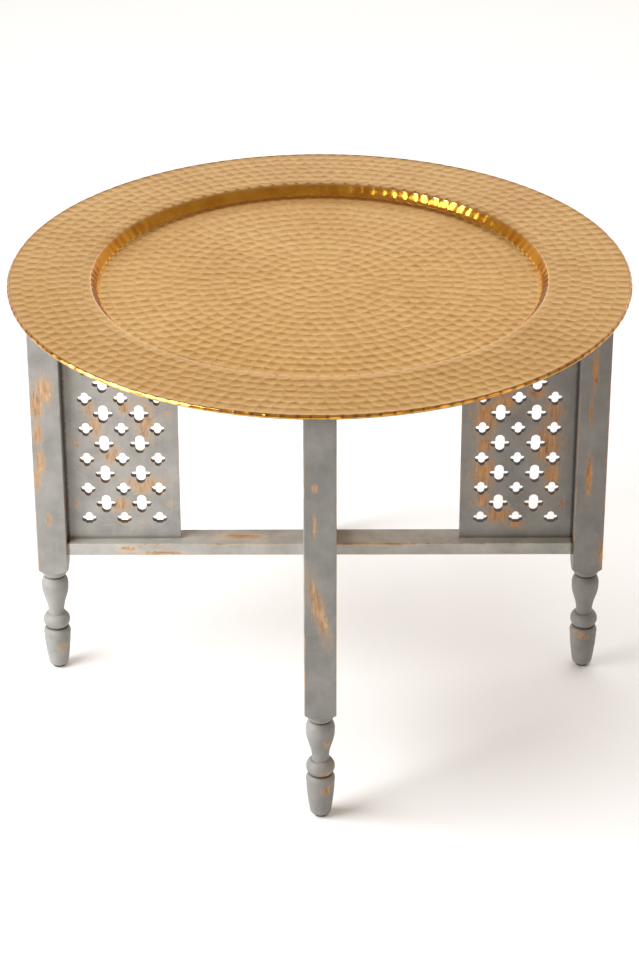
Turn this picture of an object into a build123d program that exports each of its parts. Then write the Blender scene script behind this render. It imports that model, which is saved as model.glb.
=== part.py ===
"""Folding tray table: a round hammered brass tray lying on two crossed wooden frames.

Millimetres. The origin is on the floor, on the vertical axis where the two frames cross.
+Z is up. Frame A stands along X and frame B along Y; B turns about Z on two pivot bolts.
"""

import os

from build123d import *

os.makedirs("parts", exist_ok=True)

# ---------------------------------------------------------------- driving dimensions
TABLE_HEIGHT = 560.0
TRAY_RADIUS = 380.0
SHEET = 1.2
WELL_DEPTH = 12.0
WELL_FLOOR_RADIUS = 270.0
WELL_MOUTH_RADIUS = 278.0
WELL_CORNER = 3.0
BEAD_RADIUS = 2.8
BEAD_SLIT = 0.8

LEG = 38.0
LEG_OUTER_RADIUS = 360.0
LEG_EDGE = 1.5
LEG_TOP_CHAMFER = 0.8
SQUARE_BOTTOM = 146.5
SHOULDER_RADIUS = LEG * 0.46
SHOULDER_RISE = 8.0
CORNER_REACH = LEG * 0.72

RAIL_WIDTH = 38.0
RAIL_THICKNESS = 16.5
RAIL_EDGE = 1.2
LOWEST_RAIL_BOTTOM = 174.7
TENON = (26.0, 8.0)
TENON_LENGTH = 14.0
TRAY_TO_RAIL_GAP = 0.3

PANEL_THICKNESS = 8.0
PANEL_INNER_RADIUS = 177.3
PANEL_IN_LEG = 5.0
PANEL_IN_RAIL = 3.0
LEG_GROOVE_DEPTH = 6.0
GROOVE_SIDE_GAP = 0.2

LATTICE_CENTRE_RADIUS = 248.25
LATTICE_COLUMN_PITCH = 44.75
LATTICE_ROW_PITCH = 42.5
LATTICE_ROWS = 7
FIRST_ROW = 28.8
LATTICE_MARGIN_BELOW = 22.6
CLOVER_LOBE_RADIUS = 4.3
CLOVER_LOBE_REACH = 5.0
CROSS_UPRIGHT = (25.0, 11.8)
CROSS_BAR = (25.0, 7.4)

BOLT_RADIUS = 3.0
PIVOT_CLEARANCE = 0.05
BOLT_HEAD_RADIUS = 6.0
BOLT_HEAD_SINK = 0.4
BOLT_TAIL = 2.0
HEX_SOCKET = (2.3, 2.6)
WASHER_HOLE = 3.2
WASHER_RADIUS = 9.0
WASHER_THICKNESS = 1.6
SPACER_THICKNESS = 1.0
NUT_FLATS = 10.0
NUT_HEIGHT = 5.0
NUT_THREAD_CLEARANCE = 0.02

GLIDE_RADIUS = 7.6
GLIDE_HEIGHT = 3.0
GLIDE_EDGE = 1.0
NAIL_RADIUS = 1.2
NAIL_LENGTH = 20.0
NAIL_HEAD_RADIUS = 3.0
NAIL_HEAD_HEIGHT = 1.2
NAIL_HEAD_RECESS = 0.6
NAIL_CLEARANCE = 0.05

# ---------------------------------------------------------------- worked-out places
LEG_CENTRE = LEG_OUTER_RADIUS - LEG / 2
LEG_INNER_RADIUS = LEG_OUTER_RADIUS - LEG
LEG_TOP = TABLE_HEIGHT - SHEET
RAIL_STACK = RAIL_THICKNESS + SPACER_THICKNESS
WELL_UNDERSIDE = TABLE_HEIGHT - WELL_DEPTH - SHEET

LOWER_RAIL_A = LOWEST_RAIL_BOTTOM
LOWER_RAIL_B = LOWER_RAIL_A + RAIL_STACK
UPPER_RAIL_B = WELL_UNDERSIDE - TRAY_TO_RAIL_GAP - RAIL_THICKNESS
UPPER_RAIL_A = UPPER_RAIL_B - RAIL_STACK
PANEL_HEIGHT = UPPER_RAIL_A - LOWER_RAIL_A - RAIL_THICKNESS

# Each frame: its rails' undersides, and its two ends by name and compass angle.
FRAME_A = {"lower": LOWER_RAIL_A, "upper": UPPER_RAIL_A, "ends": {"right": 0, "left": 180}}
FRAME_B = {"lower": LOWER_RAIL_B, "upper": UPPER_RAIL_B, "ends": {"back": 90, "front": 270}}


def level_plane(angle, radius=0.0, height=0.0):
    """A level plane whose X points away from the table's axis at a compass angle."""
    outward = Vector(1, 0, 0).rotate(Axis.Z, angle)
    return Plane(outward * radius + Vector(0, 0, height), x_dir=outward, z_dir=(0, 0, 1))


def wall_plane(level):
    """The upright plane through a level plane's X axis, with its Y up."""
    return Plane(level.origin, x_dir=level.x_dir, z_dir=-level.y_dir)


def end_plane(level):
    """The upright plane across a level plane's X axis, facing outward, with its Y up."""
    return Plane(level.origin, x_dir=level.y_dir, z_dir=level.x_dir)


def upright_axis(level):
    """The vertical line through a level plane's origin."""
    return Axis(level.origin, level.z_dir)


def save(piece, node):
    """Label a finished piece and write it as its own STEP file."""
    piece.part.label = node
    export_step(piece.part, f"parts/{node}.step")


# ---------------------------------------------------------------- tray
def make_tray():
    """A spun dish: flat floor, sloping wall, wide flat rim and an edge curled round a wire."""
    bead_centre = (TRAY_RADIUS - BEAD_RADIUS, TABLE_HEIGHT - BEAD_RADIUS)
    floor_top = TABLE_HEIGHT - WELL_DEPTH
    with BuildPart() as tray:
        with BuildSketch(Plane.XZ):
            with BuildLine():
                FilletPolyline(
                    (0, floor_top),
                    (WELL_FLOOR_RADIUS, floor_top),
                    (WELL_MOUTH_RADIUS, TABLE_HEIGHT),
                    (bead_centre[0], TABLE_HEIGHT),
                    radius=WELL_CORNER,
                )
                offset(amount=-SHEET, side=Side.RIGHT)
            make_face()
            with Locations(bead_centre):
                Circle(BEAD_RADIUS)
                Circle(BEAD_RADIUS - SHEET, mode=Mode.SUBTRACT)
            with Locations((bead_centre[0] - BEAD_RADIUS, bead_centre[1] - SHEET)):
                Rectangle(2 * SHEET, BEAD_SLIT, mode=Mode.SUBTRACT)
        revolve(axis=Axis.Z)
    save(tray, "tray")

    with BuildPart() as wire:
        with BuildSketch(Plane.XZ):
            with Locations(bead_centre):
                Circle(BEAD_RADIUS - SHEET)
        revolve(axis=Axis.Z)
    save(wire, "tray_rim_wire")


# ---------------------------------------------------------------- legs
def turned_foot_outline():
    """The lathe-turned foot's half section, from the glide up into the square of the leg."""
    ankle = (8.0, GLIDE_HEIGHT)
    heel = (12.9, 8.5)
    barrel = (17.2, 50.0)
    barrel_groove = (12.6, 60.8)
    ring_top = (12.4, 79.4)
    neck = (10.4, 79.8)
    vase = (17.2, 121.0)
    vase_groove = (12.2, 136.5)
    collar = (16.9, SQUARE_BOTTOM)
    hidden_top = SQUARE_BOTTOM + LEG / 2
    Line((0, GLIDE_HEIGHT), ankle)
    ThreePointArc(ankle, (11.4, 4.9), heel)
    ThreePointArc(heel, (15.8, 30.0), barrel)
    ThreePointArc(barrel, (16.4, 57.0), barrel_groove)
    ThreePointArc(barrel_groove, (17.3, 69.6), ring_top)
    Line(ring_top, neck)
    Spline(neck, (10.6, 89.0), (13.0, 100.0), (16.2, 111.0), vase)
    ThreePointArc(vase, (16.1, 130.6), vase_groove)
    ThreePointArc(vase_groove, (16.0, 140.2), collar)
    Polyline(collar, (collar[0], hidden_top), (0, hidden_top), (0, GLIDE_HEIGHT))


def shoulder_outline():
    """The envelope that rounds the lower corners of the square where the turning begins."""
    start = (SHOULDER_RADIUS, SQUARE_BOTTOM)
    middle = (LEG * 0.6, SQUARE_BOTTOM + SHOULDER_RISE * 0.275)
    end = (CORNER_REACH, SQUARE_BOTTOM + SHOULDER_RISE)
    Line((0, SQUARE_BOTTOM), start)
    ThreePointArc(start, middle, end)
    Polyline(end, (CORNER_REACH, LEG_TOP), (0, LEG_TOP), (0, SQUARE_BOTTOM))


def make_leg(node, angle, frame):
    """One post: square above, turned foot below, mortised for two rails and grooved for a panel."""
    base = level_plane(angle, LEG_CENTRE)
    inner_face = end_plane(level_plane(angle, LEG_INNER_RADIUS))
    rail_middles = [frame["lower"] + RAIL_THICKNESS / 2, frame["upper"] + RAIL_THICKNESS / 2]
    groove_height = PANEL_HEIGHT + 2 * PANEL_IN_RAIL
    groove_middle = frame["lower"] + RAIL_THICKNESS + PANEL_HEIGHT / 2
    with BuildPart() as leg:
        with BuildSketch(base.offset(SQUARE_BOTTOM)):
            RectangleRounded(LEG, LEG, LEG_EDGE)
        extrude(amount=LEG_TOP - SQUARE_BOTTOM)
        chamfer(leg.faces().sort_by(Axis.Z)[-1].edges(), LEG_TOP_CHAMFER)
        with BuildSketch(wall_plane(base)):
            with BuildLine():
                shoulder_outline()
            make_face()
        revolve(axis=upright_axis(base), mode=Mode.INTERSECT)
        with BuildSketch(wall_plane(base)):
            with BuildLine():
                turned_foot_outline()
            make_face()
        revolve(axis=upright_axis(base))
        with BuildSketch(inner_face):
            with Locations(*[(0, middle) for middle in rail_middles]):
                Rectangle(*TENON)
        extrude(amount=TENON_LENGTH, mode=Mode.SUBTRACT)
        with BuildSketch(inner_face):
            with Locations((0, groove_middle)):
                Rectangle(PANEL_THICKNESS + 2 * GROOVE_SIDE_GAP, groove_height)
        extrude(amount=LEG_GROOVE_DEPTH, mode=Mode.SUBTRACT)
        with BuildSketch(base.offset(GLIDE_HEIGHT)):
            Circle(NAIL_RADIUS)
        extrude(amount=NAIL_LENGTH - GLIDE_HEIGHT, mode=Mode.SUBTRACT)
    save(leg, node)


# ---------------------------------------------------------------- rails
def make_rail(node, angle, bottom, panels_above, bolt_hole_radius, countersunk):
    """A flat slat with a stub tenon at each end, a groove at each end for a panel, and a bolt hole."""
    level = level_plane(angle, 0, bottom)
    middle = bottom + RAIL_THICKNESS / 2
    groove_length = LEG_INNER_RADIUS - PANEL_INNER_RADIUS
    groove_middle = (LEG_INNER_RADIUS + PANEL_INNER_RADIUS) / 2
    groove_face = level.offset(RAIL_THICKNESS if panels_above else 0)
    groove_cut = -PANEL_IN_RAIL if panels_above else PANEL_IN_RAIL
    with BuildPart() as rail:
        with BuildSketch(end_plane(level_plane(angle, -LEG_INNER_RADIUS, middle))):
            RectangleRounded(RAIL_WIDTH, RAIL_THICKNESS, RAIL_EDGE)
        extrude(amount=2 * LEG_INNER_RADIUS)
        with BuildSketch(end_plane(level_plane(angle, -LEG_INNER_RADIUS - TENON_LENGTH, middle))):
            Rectangle(*TENON)
        extrude(amount=2 * (LEG_INNER_RADIUS + TENON_LENGTH))
        with BuildSketch(groove_face):
            with Locations((-groove_middle, 0), (groove_middle, 0)):
                Rectangle(groove_length, PANEL_THICKNESS + 2 * GROOVE_SIDE_GAP)
        extrude(amount=groove_cut, mode=Mode.SUBTRACT)
        with BuildSketch(level):
            Circle(bolt_hole_radius)
        extrude(amount=RAIL_THICKNESS, mode=Mode.SUBTRACT)
        if countersunk:
            with BuildSketch(wall_plane(level)):
                with BuildLine():
                    bolt_head_outline(RAIL_THICKNESS)
                make_face()
            revolve(axis=upright_axis(level), mode=Mode.SUBTRACT)
    save(rail, node)


# ---------------------------------------------------------------- pierced panels
def lattice_centres(columns, first_row, rows):
    """Hole centres, as distance from the table's axis and height above the panel's lower rail."""
    left_column = LATTICE_CENTRE_RADIUS - (columns - 1) * LATTICE_COLUMN_PITCH / 2
    return [
        (left_column + column * LATTICE_COLUMN_PITCH, first_row + row * LATTICE_ROW_PITCH)
        for row in range(rows)
        for column in range(columns)
    ]


def make_panel(node, angle, rail_top):
    """A board pierced by rows of clovers with crosses between them, flat-cut at top and bottom."""
    with BuildSketch() as clover:
        Circle(CLOVER_LOBE_RADIUS)
        with PolarLocations(CLOVER_LOBE_REACH, 4):
            Circle(CLOVER_LOBE_RADIUS)

    with BuildSketch() as cross:
        SlotOverall(*CROSS_UPRIGHT, rotation=90)
        SlotOverall(*CROSS_BAR)

    outer_radius = LEG_INNER_RADIUS + PANEL_IN_LEG
    length = outer_radius - PANEL_INNER_RADIUS
    cross_row = FIRST_ROW + LATTICE_ROW_PITCH / 2
    last_row = FIRST_ROW + (LATTICE_ROWS - 1) * LATTICE_ROW_PITCH
    field_height = last_row + FIRST_ROW - 2 * LATTICE_MARGIN_BELOW
    field_middle = (FIRST_ROW + last_row) / 2
    wall = wall_plane(level_plane(angle, 0, rail_top))
    with BuildPart() as panel:
        with BuildSketch(wall):
            with Locations(((outer_radius + PANEL_INNER_RADIUS) / 2, PANEL_HEIGHT / 2)):
                Rectangle(length, PANEL_HEIGHT + 2 * PANEL_IN_RAIL)
        extrude(amount=PANEL_THICKNESS / 2, both=True)
        with BuildSketch(wall):
            with Locations(*lattice_centres(3, FIRST_ROW, LATTICE_ROWS)):
                add(clover.sketch)
            with Locations(*lattice_centres(2, cross_row, LATTICE_ROWS - 1)):
                add(cross.sketch)
            with Locations((LATTICE_CENTRE_RADIUS, field_middle)):
                Rectangle(length, field_height, mode=Mode.INTERSECT)
        extrude(amount=PANEL_THICKNESS / 2, both=True, mode=Mode.SUBTRACT)
    save(panel, node)


# ---------------------------------------------------------------- pivot hardware
def bolt_head_outline(top):
    """Half section of a countersunk head whose cone meets a surface at the height given."""
    cone = BOLT_HEAD_RADIUS - BOLT_RADIUS
    Polyline(
        (0, top),
        (BOLT_HEAD_RADIUS, top),
        (BOLT_HEAD_RADIUS, top - BOLT_HEAD_SINK),
        (BOLT_RADIUS, top - BOLT_HEAD_SINK - cone),
        (0, top - BOLT_HEAD_SINK - cone),
        close=True,
    )


def make_ring(node, bottom, outer, inner, thickness):
    """A flat ring on the table's axis."""
    with BuildPart() as ring:
        with BuildSketch(Plane.XY.offset(bottom)):
            Circle(outer)
            Circle(inner, mode=Mode.SUBTRACT)
        extrude(amount=thickness)
    save(ring, node)


def make_pivot(name, rail_a_bottom):
    """Bolt, spacer, washer and lock nut that hold one crossing of the two frames together."""
    washer_bottom = rail_a_bottom - WASHER_THICKNESS
    nut_bottom = washer_bottom - NUT_HEIGHT
    rail_b_top = rail_a_bottom + RAIL_STACK + RAIL_THICKNESS
    head_top = rail_b_top - BOLT_HEAD_SINK
    tail = nut_bottom - BOLT_TAIL
    socket_radius, socket_depth = HEX_SOCKET

    with BuildPart() as bolt:
        with BuildSketch(Plane.XY.offset(tail)):
            Circle(BOLT_RADIUS)
        extrude(amount=head_top - tail)
        with BuildSketch(Plane.XZ):
            with BuildLine():
                bolt_head_outline(rail_b_top)
            make_face()
        revolve(axis=Axis.Z)
        with BuildSketch(Plane.XY.offset(rail_b_top)):
            Circle(BOLT_HEAD_RADIUS)
        extrude(amount=-BOLT_HEAD_SINK, mode=Mode.SUBTRACT)
        with BuildSketch(Plane.XY.offset(head_top)):
            RegularPolygon(socket_radius, 6)
        extrude(amount=-socket_depth, mode=Mode.SUBTRACT)
    save(bolt, f"{name}_pivot_bolt")

    with BuildPart() as nut:
        with BuildSketch(Plane.XY.offset(nut_bottom)):
            RegularPolygon(NUT_FLATS / 2, 6, major_radius=False)
            Circle(BOLT_RADIUS + NUT_THREAD_CLEARANCE, mode=Mode.SUBTRACT)
        extrude(amount=NUT_HEIGHT)
    save(nut, f"{name}_pivot_nut")

    make_ring(f"{name}_pivot_washer", washer_bottom, WASHER_RADIUS, WASHER_HOLE, WASHER_THICKNESS)
    spacer_bottom = rail_a_bottom + RAIL_THICKNESS
    make_ring(f"{name}_pivot_spacer", spacer_bottom, WASHER_RADIUS, WASHER_HOLE, SPACER_THICKNESS)


# ---------------------------------------------------------------- glides
def make_glide(node, angle):
    """A round floor glide under one foot, with a recessed hole for its nail."""
    base = level_plane(angle, LEG_CENTRE)
    with BuildPart() as glide:
        with BuildSketch(base):
            Circle(GLIDE_RADIUS)
        extrude(amount=GLIDE_HEIGHT)
        fillet(glide.faces().sort_by(Axis.Z)[0].edges(), GLIDE_EDGE)
        with BuildSketch(base):
            Circle(NAIL_RADIUS + NAIL_CLEARANCE)
        extrude(amount=GLIDE_HEIGHT, mode=Mode.SUBTRACT)
        with BuildSketch(base):
            Circle(NAIL_HEAD_RADIUS + NAIL_CLEARANCE)
        extrude(amount=NAIL_HEAD_RECESS + NAIL_HEAD_HEIGHT, mode=Mode.SUBTRACT)
    save(glide, node)


def make_glide_nails(node, angles):
    """The nails that hold one frame's two glides to its feet."""
    with BuildPart() as nails:
        for angle in angles:
            head = level_plane(angle, LEG_CENTRE, NAIL_HEAD_RECESS)
            with BuildSketch(head):
                Circle(NAIL_HEAD_RADIUS)
            extrude(amount=NAIL_HEAD_HEIGHT)
            with BuildSketch(head):
                Circle(NAIL_RADIUS)
            extrude(amount=NAIL_LENGTH - NAIL_HEAD_RECESS)
    save(nails, node)


# ---------------------------------------------------------------- assembly
def make_frame(letter, frame, bolt_hole_radius, countersunk):
    """One trestle frame: two legs, two rails, two panels, two glides and their nails."""
    angle = min(frame["ends"].values())
    for end, compass in frame["ends"].items():
        make_leg(f"{letter}_{end}_leg", compass, frame)
        make_panel(f"{letter}_{end}_panel", compass, frame["lower"] + RAIL_THICKNESS)
        make_glide(f"{letter}_{end}_glide", compass)
    make_glide_nails(f"{letter}_glide_nails", frame["ends"].values())
    make_rail(f"{letter}_lower_rail", angle, frame["lower"], True, bolt_hole_radius, countersunk)
    make_rail(f"{letter}_upper_rail", angle, frame["upper"], False, bolt_hole_radius, countersunk)


make_tray()
make_frame("a", FRAME_A, BOLT_RADIUS + PIVOT_CLEARANCE, False)
make_frame("b", FRAME_B, BOLT_RADIUS, True)
make_pivot("lower", LOWER_RAIL_A)
make_pivot("upper", UPPER_RAIL_A)
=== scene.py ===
"""Looks of the folding brass tray table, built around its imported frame. Metres.

The tray is replaced by a hammered sheet made facet by facet. The stand keeps its CAD pieces, which
get distressed paint, steel and plastic materials.
"""

import math
import random

import bpy
import numpy as np
from mathutils import Matrix, Vector
from mathutils.geometry import delaunay_2d_cdt


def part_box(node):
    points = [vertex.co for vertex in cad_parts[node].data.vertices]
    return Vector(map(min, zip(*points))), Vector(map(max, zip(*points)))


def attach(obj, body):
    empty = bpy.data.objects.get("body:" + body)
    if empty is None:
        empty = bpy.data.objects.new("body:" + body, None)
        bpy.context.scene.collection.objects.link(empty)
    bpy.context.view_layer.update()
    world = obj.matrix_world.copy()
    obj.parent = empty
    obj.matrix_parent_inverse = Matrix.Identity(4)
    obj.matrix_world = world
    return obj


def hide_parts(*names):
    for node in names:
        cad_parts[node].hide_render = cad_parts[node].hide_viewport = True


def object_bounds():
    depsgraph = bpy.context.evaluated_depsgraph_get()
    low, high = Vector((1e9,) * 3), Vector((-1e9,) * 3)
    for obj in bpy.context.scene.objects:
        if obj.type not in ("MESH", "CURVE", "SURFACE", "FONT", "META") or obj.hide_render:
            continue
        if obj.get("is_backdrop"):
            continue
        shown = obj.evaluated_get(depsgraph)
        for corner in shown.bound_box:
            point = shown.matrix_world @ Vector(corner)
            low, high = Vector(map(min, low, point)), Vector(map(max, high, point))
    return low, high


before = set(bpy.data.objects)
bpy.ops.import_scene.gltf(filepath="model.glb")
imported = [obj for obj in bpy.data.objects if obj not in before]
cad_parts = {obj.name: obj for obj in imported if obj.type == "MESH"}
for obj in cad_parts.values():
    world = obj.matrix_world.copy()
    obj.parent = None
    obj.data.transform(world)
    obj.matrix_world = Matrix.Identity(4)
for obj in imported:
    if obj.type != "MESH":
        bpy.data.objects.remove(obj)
cad_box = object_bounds()

MM = 0.001
TRAY_LOW, TRAY_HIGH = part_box("tray")
TRAY_RADIUS = TRAY_HIGH.x
TRAY_TOP = TRAY_HIGH.z
SHEET_THICKNESS = 1.2 * MM
WELL_DEPTH = TRAY_TOP - TRAY_LOW.z - SHEET_THICKNESS


# ------------------------------------------------------------------ camera and lamps
CAMERA_PLACE = Vector((0.0, -8.9134, 5.5648)) * TRAY_RADIUS
CAMERA_PITCH = 0.498
CAMERA_YAW = -0.0018
CAMERA_ROLL = -0.0028
FOCAL_LENGTH_IN_HEIGHTS = 3.179
CAMERA_SHIFT = 0.0046
SENSOR_HEIGHT_MM = 36.0
CAMERA_FAR = 50.0


def make_camera():
    """The camera stands in front of the table and looks down at it, with a long lens."""
    camera = bpy.data.objects.new("camera", bpy.data.cameras.new("camera"))
    bpy.context.scene.collection.objects.link(camera)
    forward = Vector((
        math.sin(CAMERA_YAW) * math.cos(CAMERA_PITCH),
        math.cos(CAMERA_YAW) * math.cos(CAMERA_PITCH),
        -math.sin(CAMERA_PITCH),
    ))
    level_right = Vector((math.cos(CAMERA_YAW), -math.sin(CAMERA_YAW), 0.0))
    level_up = level_right.cross(forward)
    right = level_right * math.cos(CAMERA_ROLL) + level_up * math.sin(CAMERA_ROLL)
    up = -level_right * math.sin(CAMERA_ROLL) + level_up * math.cos(CAMERA_ROLL)
    turn = Matrix((right, up, -forward)).transposed().to_4x4()
    camera.matrix_world = Matrix.Translation(CAMERA_PLACE) @ turn
    camera.data.sensor_fit = "VERTICAL"
    camera.data.sensor_height = SENSOR_HEIGHT_MM
    camera.data.lens = FOCAL_LENGTH_IN_HEIGHTS * SENSOR_HEIGHT_MM
    camera.data.shift_x = CAMERA_SHIFT
    camera.data.clip_end = CAMERA_FAR
    bpy.context.scene.camera = camera


def add_softbox(name, place, target, size, watts):
    """A rectangular area light at a place, facing a target."""
    light = bpy.data.lights.new(name, "AREA")
    light.shape = "RECTANGLE"
    light.size, light.size_y = size
    light.energy = watts
    lamp = bpy.data.objects.new(name, light)
    bpy.context.scene.collection.objects.link(lamp)
    lamp.location = place
    lamp.rotation_euler = (Vector(target) - Vector(place)).to_track_quat("-Z", "Y").to_euler()
    return lamp


# ------------------------------------------------------------------ shader building
class Nodes:
    """A node tree, with short calls that add a node and wire its inputs."""

    def __init__(self, tree):
        self.tree = tree

    def wire(self, socket, value):
        """Set an input from a number, a tuple or another node's output."""
        if isinstance(value, bpy.types.NodeSocket):
            self.tree.links.new(value, socket)
        elif value is not None:
            socket.default_value = value

    def node(self, kind, *inputs, **settings):
        """Add a node with settings as properties and its inputs in order."""
        node = self.tree.nodes.new(kind)
        for key, value in settings.items():
            setattr(node, key, value)
        for socket, value in zip(node.inputs, inputs):
            self.wire(socket, value)
        return node

    def math(self, operation, a, b=None, c=None):
        """A math node's result."""
        return self.node("ShaderNodeMath", a, b, c, operation=operation).outputs[0]

    def combine(self, operation, first, *others):
        """One math operation carried on through several values."""
        for other in others:
            first = self.math(operation, first, other)
        return first

    def gap(self, a, b):
        """How far apart two values are."""
        return self.math("ABSOLUTE", self.math("SUBTRACT", a, b))

    def split(self, vector):
        """A vector's parts, by the names X, Y and Z."""
        return self.node("ShaderNodeSeparateXYZ", vector).outputs

    def vector(self, operation, a, b=None):
        """A vector math node's vector result."""
        return self.node("ShaderNodeVectorMath", a, b, operation=operation).outputs[0]

    def length(self, a):
        """The length of a vector."""
        return self.node("ShaderNodeVectorMath", a, operation="LENGTH").outputs["Value"]

    def noise(self, where, scale, detail=4.0, roughness=0.5, distortion=0.0):
        """A noise value, about 0 to 1, with its middle at 0.5."""
        node = self.node("ShaderNodeTexNoise")
        self.wire(node.inputs["Vector"], where)
        node.inputs["Scale"].default_value = scale
        node.inputs["Detail"].default_value = detail
        node.inputs["Roughness"].default_value = roughness
        node.inputs["Distortion"].default_value = distortion
        return node.outputs[0]

    def spread(self, value, low, high, to_low=0.0, to_high=1.0):
        """A smooth step from to_low to to_high as a value goes from low to high."""
        node = self.node("ShaderNodeMapRange", value, low, high, to_low, to_high)
        node.interpolation_type = "SMOOTHSTEP"
        return node.outputs[0]

    def mix(self, share, a, b):
        """The colour between a and b."""
        node = self.node("ShaderNodeMix", data_type="RGBA")
        self.wire(node.inputs[0], share)
        self.wire(node.inputs[6], a)
        self.wire(node.inputs[7], b)
        return node.outputs[2]

    def ramp(self, value, *stops):
        """A colour picked along stops of (position, colour)."""
        node = self.node("ShaderNodeValToRGB", value)
        elements = node.color_ramp.elements
        while len(elements) < len(stops):
            elements.new(0.5)
        for element, (position, colour) in zip(elements, stops):
            element.position = position
            element.color = colour
        return node.outputs[0]

    def bump(self, height, distance, strength=1.0, normal=None):
        """A normal bent by a height map that is distance metres deep."""
        node = self.node("ShaderNodeBump")
        node.inputs["Strength"].default_value = strength
        node.inputs["Distance"].default_value = distance
        self.wire(node.inputs["Height"], height)
        if normal is not None:
            self.wire(node.inputs["Normal"], normal)
        return node.outputs[0]


class Shader(Nodes):
    """One node material."""

    def __init__(self, name):
        self.material = bpy.data.materials.new(name)
        self.material.use_nodes = True
        super().__init__(self.material.node_tree)
        self.surface = self.tree.nodes["Principled BSDF"]

    def place(self):
        """Coordinates fixed to the piece, in metres, in the table's frame at rest."""
        return self.node("ShaderNodeTexCoord").outputs["Object"]

    def facing(self, axis):
        """How far the surface faces along an axis of the table's frame, from -1 to 1."""
        return self.split(self.node("ShaderNodeTexCoord").outputs["Normal"])[axis]

    def ridge(self):
        """The tray's own attribute: 1 on the ridge between two hammer marks, 0 inside a mark."""
        return self.node("ShaderNodeAttribute", attribute_name="ridge").outputs["Fac"]

    def speckled(self, place, scale, low, high):
        """A value that wanders between two limits in small specks."""
        return self.spread(self.noise(place, scale, 3.0), 0.3, 0.7, low, high)

    def finish(self, **inputs):
        """Wire the surface's inputs by name, with spaces written as underscores."""
        for name, value in inputs.items():
            self.wire(self.surface.inputs[name.replace("_", " ")], value)
        return self.material


def rgb(red, green, blue):
    """A linear colour from the 0 to 255 values that a screen shows."""
    def linear(value):
        share = value / 255
        return share / 12.92 if share <= 0.04045 else ((share + 0.055) / 1.055) ** 2.4
    return (linear(red), linear(green), linear(blue), 1.0)


def shaded(colour, share):
    """A colour made darker or lighter."""
    return (colour[0] * share, colour[1] * share, colour[2] * share, 1.0)


# ------------------------------------------------------------------ hammered tray
# The upper surface: a flat floor, a sloping wall, a flat rim and a curled edge.
WELL_FLOOR_RADIUS = 269.4 * MM
WELL_MOUTH_RADIUS = 278.4 * MM
WALL_STRIKES_RADIUS = 274.0 * MM
FOOT_SOFTNESS = 0.5 * MM
MOUTH_SOFTNESS = 0.9 * MM
SLOPE_STEP = 0.05 * MM
BEAD_RADIUS = 2.8 * MM
BEAD_CENTRE = Vector((TRAY_RADIUS - BEAD_RADIUS, TRAY_TOP - BEAD_RADIUS))
BEAD_START_RADIUS = TRAY_RADIUS - 4.0 * MM
BEAD_SEAM_RADIUS = BEAD_START_RADIUS + 0.7 * MM

# Where the hammer fell: rings of strikes, each a little out of place. A strike goes off by up to
# its ring's jitter inwards or outwards, and by SIDEWAYS_JITTER times that along the ring.
HAMMER_SEED = 7
STRIKE_WIDTH = 15.8 * MM
STRIKE_PITCH = 15.4 * MM
WALL_STRIKES = 118
EDGE_STRIKES = 144
STRIKE_JITTER = 1.3 * MM
CENTRE_JITTER_REACH = 70.0 * MM
BESIDE_WALL_JITTER = 0.3 * MM
WALL_JITTER = 0.2 * MM
SIDEWAYS_JITTER = 1.6
MERGE_DISTANCE = 0.8 * MM
TRIANGLE_TOLERANCE = 1e-7

# The marks: bowls of a round hammer face, upright hollows in the wall. Leans are slopes.
HAMMER_FACE_RADIUS = 80.0 * MM
WALL_HAMMER_RADIUS = 48.0 * MM
DENT_DEPTH = 0.68 * MM
WALL_DENT_DEPTH = 0.55 * MM
PRESS = 0.08 * MM
LEAN = 0.045
WALL_LEAN = 0.09
FOOT_SCALLOP = 1.8 * MM
MOUTH_DEPTH = 0.2 * MM

# Steps along one side of a mark. They are even, as an inner ring takes every other point.
FIELD_STEPS = 2
WALL_STEPS = 6
EDGE_STEPS = 8
INNER_RINGS = (0.8, 0.42)

# The curled edge: the turns of its section in degrees, and the flat facets cut on it.
BEAD_TURNS = (92, 78, 66, 54, 42, 30, 18, 6, -6, -18, -36, -60, -95, -135, -175, -214.8)
BEAD_FACETS = 144
BEAD_DENT = 0.75 * MM
BEAD_DENT_SHARES = (0.5, 1.0)
BEAD_FACET_FACING = 24.0
BEAD_FACET_SWING = 22.0
BEAD_FACET_SKEWS = (0.65, 1.5)
BEAD_CUT_COSINE = 0.5

# The underside's loops, as first radius, last radius and count: under the rim, wall and floor.
UNDERSIDE_STRETCHES = (
    (374.0 * MM, 283.0 * MM, 7),
    (280.6 * MM, 269.6 * MM, 6),
    (266.0 * MM, 12.0 * MM, 18),
)
UNDERSIDE_SHIFT = 0.9 * MM
UNDERSIDE_STEPS = 216


class SheetMesh:
    """Vertices and faces of the tray, with each vertex's share of ridge and each face's material."""

    def __init__(self):
        self.points = []
        self.ridge = []
        self.faces = []
        self.polished = []

    def add(self, point, ridge=0.0):
        """Add a vertex and return its index."""
        self.points.append(point)
        self.ridge.append(ridge)
        return len(self.points) - 1

    def face(self, corners, polished):
        """Add a face unless two of its corners are the same vertex."""
        if len(set(corners)) == len(corners):
            self.faces.append(corners)
            self.polished.append(polished)

    def bridge(self, outer, inner, polished):
        """Join two closed loops of different lengths, both ordered by angle from the same start."""
        a = b = 0
        while a < len(outer) or b < len(inner):
            take_outer = b == len(inner) or (a < len(outer) and a * len(inner) <= b * len(outer))
            outer_now = outer[a % len(outer)]
            inner_now = inner[b % len(inner)]
            if take_outer:
                a += 1
                self.face((outer_now, outer[a % len(outer)], inner_now), polished)
            else:
                b += 1
                self.face((outer_now, inner[b % len(inner)], inner_now), polished)


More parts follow.
